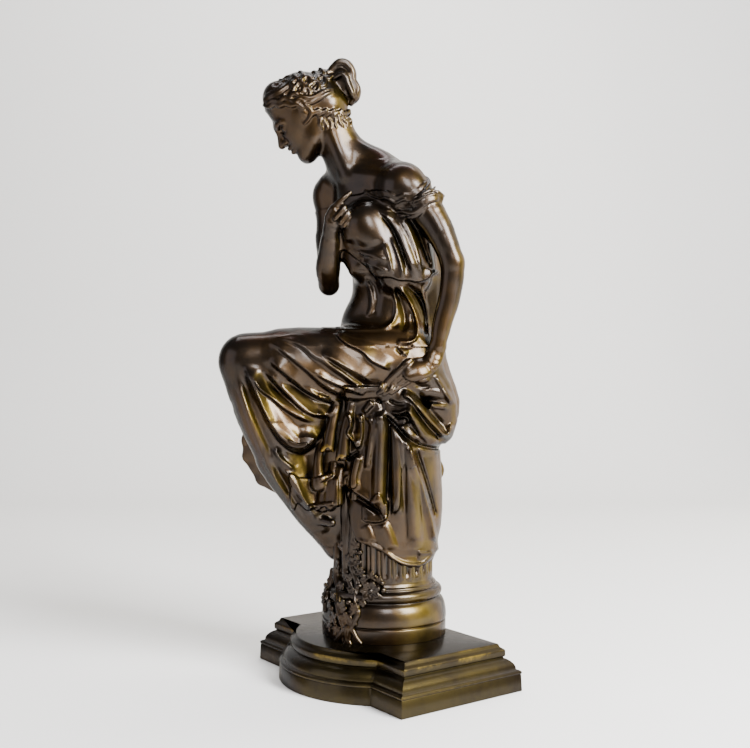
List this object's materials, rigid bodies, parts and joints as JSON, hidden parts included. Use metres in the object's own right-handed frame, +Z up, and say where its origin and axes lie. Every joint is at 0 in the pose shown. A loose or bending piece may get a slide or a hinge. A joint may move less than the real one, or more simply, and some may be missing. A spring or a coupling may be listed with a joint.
{
  "type": "bronze statue",
  "caption": "Bronze statue of a draped woman seated on a fluted column, one arm propped beside her, on a long moulded plinth with a round bow in its front.",
  "frame": {"origin": "centre of the plinth's flat underside, under the column's axis", "axes": "+Z up the column, +X along the plinth's long side, -Y the way the plinth's bow looks"},
  "size_m": [0.2482, 0.2257, 0.6201],
  "materials": {
    "statue_bronze": "cast bronze with a dark brown waxed patina, rubbed to olive and ochre on its high edges",
    "plinth_bronze": "cast bronze with a dark greenish-brown patina, satin on top, rubbed to ochre on its moulded edges"
  },
  "bodies": {
    "root": {"seated_woman_and_column": "statue_bronze", "plinth": "plinth_bronze"}
  },
  "joints": []
}
